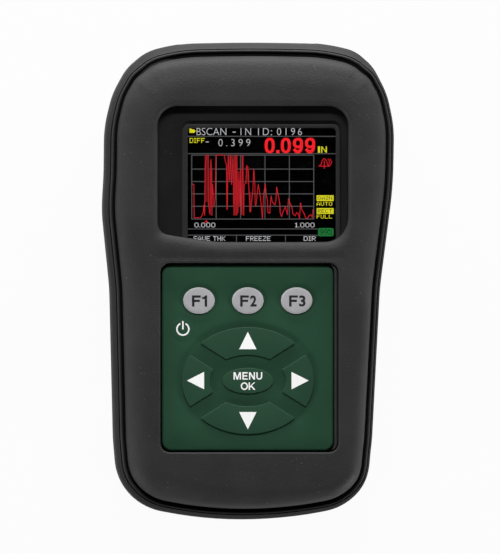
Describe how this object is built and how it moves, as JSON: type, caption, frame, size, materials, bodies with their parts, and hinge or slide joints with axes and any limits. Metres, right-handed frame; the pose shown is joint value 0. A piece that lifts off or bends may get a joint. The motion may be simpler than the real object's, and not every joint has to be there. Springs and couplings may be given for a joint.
{
  "type": "ultrasonic thickness gauge",
  "caption": "Hand-held ultrasonic thickness gauge with a colour display, a rubber keypad and a moulded rubber boot, for measuring wall thickness with a plug-in transducer.",
  "frame": {"origin": "middle of the boot's box, on the plane that its back lies on", "axes": "+Z out of the front face, +Y towards the socket end, +X to the right seen from the front"},
  "size_m": [0.0834, 0.138, 0.038],
  "materials": {
    "boot_rubber": "matt moulded rubber",
    "case_plastic": "fine matt texture",
    "seal_rubber": "smooth",
    "pad_rubber": "matt silicone",
    "fkey_rubber": "matt silicone",
    "board": "solder mask",
    "chip_plastic": "moulded",
    "link_plastic": "moulded",
    "ribbon": "film",
    "display_glass": "gloss",
    "lens": "clear, gloss",
    "steel": "plated",
    "socket_metal": "nickel plated",
    "contact_gold": "gold plated",
    "cell_jacket": "printed jacket"
  },
  "bodies": {
    "gauge": {"rear_case": "case_plastic", "battery_contacts": "steel", "battery_springs": "steel", "battery_1": "cell_jacket", "battery_2": "cell_jacket", "battery_3": "cell_jacket", "battery_door_seal": "seal_rubber", "battery_door": "case_plastic", "battery_door_screws": "steel", "case_seal": "seal_rubber", "main_board": "board", "board_screws": "steel", "shield_can": "steel", "processor": "chip_plastic", "beeper": "chip_plastic", "transducer_socket_left": "socket_metal", "transducer_socket_right": "socket_metal", "socket_contacts": "contact_gold", "socket_nuts": "socket_metal", "data_socket": "steel", "display_frame": "link_plastic", "display_panel": "display_glass", "display_foam": "seal_rubber", "display_lens": "lens", "display_ribbon": "ribbon", "board_link": "link_plastic", "keypad_board": "board", "keypad_mat": "pad_rubber", "front_case": "case_plastic", "case_screws": "steel", "rubber_boot": "boot_rubber"},
    "key_f1_body": {"key_f1": "fkey_rubber"},
    "key_f2_body": {"key_f2": "fkey_rubber"},
    "key_f3_body": {"key_f3": "fkey_rubber"},
    "key_power_body": {"key_power": "pad_rubber"},
    "key_up_body": {"key_up": "pad_rubber"},
    "key_down_body": {"key_down": "pad_rubber"},
    "key_left_body": {"key_left": "pad_rubber"},
    "key_right_body": {"key_right": "pad_rubber"},
    "key_ok_body": {"key_ok": "pad_rubber"}
  },
  "joints": [
    {"name": "key_f1_press", "type": "slide", "parent": "gauge", "child": "key_f1_body", "axis": [0, 0, -1], "range_m": [0, 0.0008], "stiffness_N_per_m": 1200},
    {"name": "key_f2_press", "type": "slide", "parent": "gauge", "child": "key_f2_body", "axis": [0, 0, -1], "range_m": [0, 0.0008], "stiffness_N_per_m": 1200},
    {"name": "key_f3_press", "type": "slide", "parent": "gauge", "child": "key_f3_body", "axis": [0, 0, -1], "range_m": [0, 0.0008], "stiffness_N_per_m": 1200},
    {"name": "key_power_press", "type": "slide", "parent": "gauge", "child": "key_power_body", "axis": [0, 0, -1], "range_m": [0, 0.0008], "stiffness_N_per_m": 1200},
    {"name": "key_up_press", "type": "slide", "parent": "gauge", "child": "key_up_body", "axis": [0, 0, -1], "range_m": [0, 0.0008], "stiffness_N_per_m": 1200},
    {"name": "key_down_press", "type": "slide", "parent": "gauge", "child": "key_down_body", "axis": [0, 0, -1], "range_m": [0, 0.0008], "stiffness_N_per_m": 1200},
    {"name": "key_left_press", "type": "slide", "parent": "gauge", "child": "key_left_body", "axis": [0, 0, -1], "range_m": [0, 0.0008], "stiffness_N_per_m": 1200},
    {"name": "key_right_press", "type": "slide", "parent": "gauge", "child": "key_right_body", "axis": [0, 0, -1], "range_m": [0, 0.0008], "stiffness_N_per_m": 1200},
    {"name": "key_ok_press", "type": "slide", "parent": "gauge", "child": "key_ok_body", "axis": [0, 0, -1], "range_m": [0, 0.0008], "stiffness_N_per_m": 1200}
  ]
}
